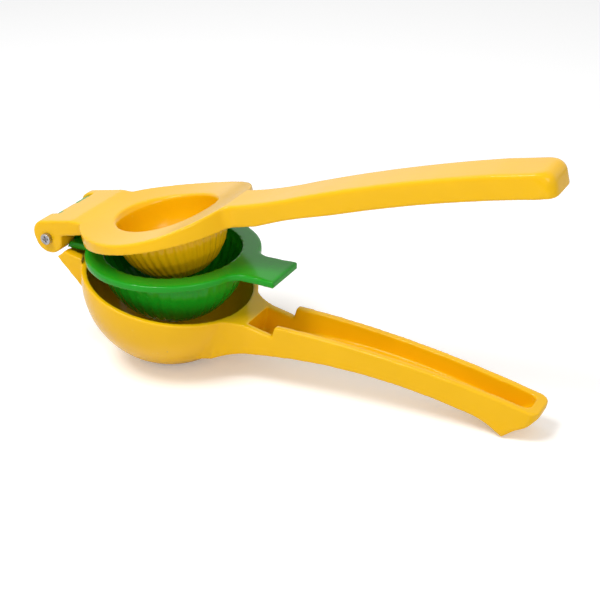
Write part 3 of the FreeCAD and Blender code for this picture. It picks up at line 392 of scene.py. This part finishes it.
def steel(name):
    """Bright plated steel with a fine grain and darker stains."""
    material = bpy.data.materials.new(name)
    material.use_nodes = True
    tree = material.node_tree
    shader = tree.nodes["Principled BSDF"]
    shader.inputs["Metallic"].default_value = 1.0
    place = tree.nodes.new("ShaderNodeTexCoord")
    grain = noise(tree, place, *STEEL_GRAIN_NOISE)
    stain = noise(tree, place, *STAIN_NOISE)
    stain_share = spread(tree, stain.outputs["Fac"], *STAIN_SPREAD)
    tone = blend_colour(tree, stain_share.outputs[0], DARK_STEEL, PALE_STEEL)
    tree.links.new(tone, shader.inputs["Base Color"])
    rough = spread(tree, grain.outputs["Fac"], *STEEL_ROUGH_SPREAD)
    tree.links.new(rough.outputs[0], shader.inputs["Roughness"])
    bump = tree.nodes.new("ShaderNodeBump")
    bump.inputs["Strength"].default_value = STEEL_GRAIN_STRENGTH
    bump.inputs["Distance"].default_value = STEEL_GRAIN_DEPTH
    tree.links.new(grain.outputs["Fac"], bump.inputs["Height"])
    tree.links.new(bump.outputs["Normal"], shader.inputs["Normal"])
    return material


def smooth_step(stretch, values):
    """From 0 at one end of a stretch to 1 at its other end."""
    low, high = stretch
    share = np.clip((values - low) / (high - low), 0, 1)
    return share * share * (3 - 2 * share)


def height_along(x, profile):
    """Heights, or shifts, at places along a casting."""
    places, amounts = zip(*profile)
    return np.interp(x, places, amounts)


def to_closed(points, tilt):
    """Points in the frame of the closed squeezer, in millimetres from the centre of the bowl's rim."""
    turn = math.radians(tilt)
    x = points[:, 0] - HINGE.x
    z = points[:, 2] - HINGE.z
    closed = points * 1000
    closed[:, 0] = (math.cos(turn) * x + math.sin(turn) * z) * 1000 - HINGE_REACH
    closed[:, 2] = (math.cos(turn) * z - math.sin(turn) * x) * 1000 + HINGE_HEIGHT
    return closed


def from_closed(closed, tilt):
    """The way back from the closed frame."""
    turn = math.radians(tilt)
    x = (closed[:, 0] + HINGE_REACH) / 1000
    z = (closed[:, 2] - HINGE_HEIGHT) / 1000
    points = closed / 1000
    points[:, 0] = math.cos(turn) * x - math.sin(turn) * z + HINGE.x
    points[:, 2] = math.sin(turn) * x + math.cos(turn) * z + HINGE.z
    return points


def vertex_places(mesh):
    """All vertices as rows."""
    flat = np.empty(len(mesh.vertices) * 3)
    mesh.vertices.foreach_get("co", flat)
    return flat.reshape(-1, 3)


def apply_modifiers(piece):
    """Replace a piece's mesh with its evaluated one."""
    graph = bpy.context.evaluated_depsgraph_get()
    mesh = bpy.data.meshes.new_from_object(piece.evaluated_get(graph))
    piece.modifiers.clear()
    piece.vertex_groups.clear()
    piece.data = mesh


def soften(piece, rounds, shares=None):
    """Round a piece's edges, everywhere alike or by each vertex's share."""
    modifier = piece.modifiers.new("soften", "SMOOTH")
    modifier.factor = SMOOTH_FACTOR
    modifier.iterations = rounds
    if shares is not None:
        group = piece.vertex_groups.new(name="share")
        steps = np.rint(shares * SHARE_STEPS).astype(int)
        for step in range(1, SHARE_STEPS + 1):
            group.add(np.nonzero(steps == step)[0].tolist(), step / SHARE_STEPS, "REPLACE")
        modifier.vertex_group = group.name
    apply_modifiers(piece)


def shape_bowl(closed):
    """The wall at the end of the handle's channel is thinned."""
    x, z = closed[:, 0], closed[:, 2]
    shift = ((HANDLE_END_START, 0), (CHANNEL_END, CHANNEL_END_SHIFT), (HANDLE_END, HANDLE_END_SHIFT))
    moved = height_along(x, shift)
    shaped = closed.copy()
    shaped[:, 0] = x + moved * smooth_step(END_WALL_RISE, z)
    return shaped


def bowl_shares(closed):
    """Rounding for the bowl and the underside of its handle, but not for the channel's rims."""
    x, z = closed[:, 0], closed[:, 2]
    top = height_along(x, HANDLE_TOP)
    return BOWL_SHARE * smooth_step(BOWL_DEPTH_FADE, top - z) * smooth_step(STRUT_FADE, x)


def within(values, band):
    """Where values lie between the ends of a band."""
    low, high = band
    return (values > low) & (values < high)


def shape_cup(closed):
    """The cup's mouth is plain and its outside is faintly fluted."""
    x, y, z = closed[:, 0], closed[:, 1], closed[:, 2] - CUP_TOP
    away = np.sqrt(x * x + y * y + z * z)
    inside = within(away - CUP_RADIUS, MOUTH_BAND)
    plain = inside * (1 - smooth_step(MOUTH_FADE, -z))
    scale = 1 + plain * (CUP_RADIUS / np.maximum(away, 1) - 1)
    outside = within(away - CUP_RADIUS, FLUTE_BAND) & (z < -CUP_FLANGE - FLUTE_GAP)
    wave = np.cos(RIB_COUNT * np.arctan2(y, x))
    depth = FLUTE_DEPTH * smooth_step(FLUTE_EDGE, wave) * smooth_step(FLUTE_TOP_FADE, -z)
    depth = depth * smooth_step(FLUTE_POLE_FADE, np.hypot(x, y))
    scale = scale - outside * depth / np.maximum(away, 1)
    shaped = closed.copy()
    shaped[:, 0] = x * scale
    shaped[:, 1] = y * scale
    shaped[:, 2] = z * scale + CUP_TOP
    return shaped


def cup_shares(closed):
    """Rounding for the flange and the tab, but not for the ribs."""
    x, y, z = closed[:, 0], closed[:, 1], closed[:, 2]
    return CUP_SHARE * smooth_step(CUP_FLANGE_FADE, z) * smooth_step(CUP_RIM_FADE, np.hypot(x, y))


def shape_press(closed):
    """The lever's walls are a little deeper and its end is a blunt upright face."""
    shaped = closed.copy()
    x, y, z = closed[:, 0], closed[:, 1], closed[:, 2]
    roof = height_along(x, LEVER_ROOF)
    belly = height_along(x, LEVER_BELLY)
    drop = BELLY_DROP * smooth_step(BELLY_FADE, x)
    shaped[:, 2] = z - drop * np.clip((roof - z) / (roof - belly), 0, 1)
    dip = LEVER_END_DIP * smooth_step((LEVER_END_START - LEVER_DIP_RUN, LEVER_END), x)
    shaped[:, 2] -= dip * np.clip((z - belly) / (LEVER_END_TOP - belly), 0, 1)
    arc = LEVER_ARC_X + np.sqrt(np.maximum(LEVER_ARC_RADIUS**2 - (z - LEVER_ARC_Z) ** 2, 0))
    side = np.abs(y)
    old_corner = np.clip(side - (LEVER_HALF - OLD_CORNER), 0, OLD_CORNER)
    old_plan = LEVER_REACH - OLD_CORNER + np.sqrt(OLD_CORNER**2 - old_corner**2)
    edge_place, edge_height = LEVER_EDGE_PLACE
    edge = edge_place + (z - edge_height) * LEVER_EDGE_SLOPE
    old_end = np.minimum(np.where(z < LEVER_EDGE_HEIGHT, edge, arc), old_plan)
    rise = np.clip(z - (LEVER_END_TOP - LEVER_END_ROUND), 0, LEVER_END_ROUND)
    corner = np.clip(side - (LEVER_HALF - LEVER_END_CORNER), 0, LEVER_END_CORNER)
    new_end = (
        LEVER_END - LEVER_END_ROUND - LEVER_END_CORNER
        + np.sqrt(LEVER_END_ROUND**2 - rise**2) + np.sqrt(LEVER_END_CORNER**2 - corner**2)
    )
    stretch = (new_end - LEVER_END_START) / np.maximum(old_end - LEVER_END_START, 1)
    beyond = x > LEVER_END_START
    shaped[:, 0] = np.where(beyond, LEVER_END_START + (x - LEVER_END_START) * stretch, x)
    return shaped


def press_shares(closed):
    """Rounding for the lever's top edges, the flange's rim and the lugs, but not for the dome."""
    x, y, z = closed[:, 0], closed[:, 1], closed[:, 2]
    top = height_along(x, PRESS_TOP)
    lever = smooth_step(LEVER_ROOT_FADE, x) * smooth_step(LEVER_DEPTH_FADE, top - z)
    end = smooth_step(LEVER_END_FADE, x)
    flange = FLANGE_SHARE * smooth_step(FLANGE_HEIGHT_FADE, z) * smooth_step(FLANGE_FRONT_FADE, x)
    flange = flange * smooth_step(FLANGE_BACK_FADE, x)
    lug = LUG_SHARE * smooth_step(LUG_FADE, x) * smooth_step(LUG_SIDE_FADE, np.abs(y))
    return np.clip(np.maximum.reduce([lever, end, flange, lug]), 0, 1)


def zone_shell(name, radius, thickness, inner, outer, tilt):
    """A ring-shaped part of the bowl's wall, between two distances from its axis."""
    mesh = bpy.data.meshes.new(name)
    rows = []
    for shell in (radius - RING_OVERLAP, radius + thickness + RING_OVERLAP):
        for level in range(RING_LEVELS + 1):
            reach = inner + (outer - inner) * level / RING_LEVELS
            turn = np.linspace(0, 2 * np.pi, RING_STEPS, endpoint=False)
            height = -math.sqrt(shell**2 - reach**2)
            heights = np.full(RING_STEPS, height)
            rows.append(np.stack([reach * np.cos(turn), reach * np.sin(turn), heights], -1))
    order = list(range(RING_LEVELS + 1)) + list(range(2 * RING_LEVELS + 1, RING_LEVELS, -1))
    faces = []
    for here, there in zip(order, order[1:] + order[:1]):
        for step in range(RING_STEPS):
            after = (step + 1) % RING_STEPS
            faces.append((
                here * RING_STEPS + step,
                here * RING_STEPS + after,
                there * RING_STEPS + after,
                there * RING_STEPS + step,
            ))
    mesh.from_pydata(from_closed(np.concatenate(rows), tilt).tolist(), [], faces)
    return mesh


def cast_copy(node, body, material, tilt, reshape, shares, fillings=()):
    """A casting's own surface: the node's form remeshed fine, with its edges rounded as by thick enamel."""
    source = frame["nodes"][node]
    piece = bpy.data.objects.new(node + "_casting", source.data.copy())
    bpy.context.scene.collection.objects.link(piece)
    if fillings:
        build = bmesh.new()
        build.from_mesh(piece.data)
        for filling in fillings:
            build.from_mesh(filling)
        build.to_mesh(piece.data)
        build.free()
    remesh = piece.modifiers.new("remesh", "REMESH")
    remesh.mode = "VOXEL"
    remesh.voxel_size = VOXEL
    apply_modifiers(piece)
    closed = to_closed(vertex_places(piece.data), tilt)
    shaped = reshape(closed)
    piece.data.vertices.foreach_set("co", from_closed(shaped, tilt).ravel())
    piece.data.update()
    soften(piece, SOFT_ROUNDS)
    soften(piece, EDGE_ROUNDS, shares(shaped))
    finish_piece(piece, node, body, material)


def finish_piece(piece, node, body, material):
    """Give a piece its material and hand it to the body that carries it."""
    piece.data.materials.clear()
    piece.data.materials.append(material)
    for polygon in piece.data.polygons:
        polygon.use_smooth = True
        polygon.material_index = 0
    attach(piece, body)
    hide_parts(node)


def turned_copy(node, body, material, rounds):
    """A steel piece with the small roundings that turning and plating leave."""
    source = frame["nodes"][node]
    piece = bpy.data.objects.new(node + "_turned", source.data.copy())
    bpy.context.scene.collection.objects.link(piece)
    remesh = piece.modifiers.new("remesh", "REMESH")
    remesh.mode = "VOXEL"
    remesh.voxel_size = FINE_VOXEL
    apply_modifiers(piece)
    soften(piece, rounds)
    finish_piece(piece, node, body, material)


make_camera()
make_light()
make_floor()
yellow = enamel("yellow_enamel", YELLOW, DEEP_YELLOW, EDGE_HIGHLIGHT_YELLOW, CHIP_YELLOW)
green = enamel("green_enamel", GREEN, DEEP_GREEN, EDGE_HIGHLIGHT_GREEN, CHIP_GREEN)
bright = steel("hinge_steel")
drain_ring = zone_shell("drain_ring", BOWL_RADIUS, BOWL_WALL, DRAIN_START, DRAIN_END, LOWER_TILT)
cast_copy(
    "bowl_and_handle", "lower", yellow, LOWER_TILT, shape_bowl, bowl_shares, (drain_ring,)
)
cast_copy("cup", "insert", green, CUP_TILT, shape_cup, cup_shares)
cast_copy("press", "lever", yellow, PRESS_TILT, shape_press, press_shares)
turned_copy("hinge_post", "lever", bright, POST_ROUNDS)
turned_copy("hinge_screw", "lever", bright, SCREW_ROUNDS)

bpy.context.scene.view_settings.view_transform = "Standard"
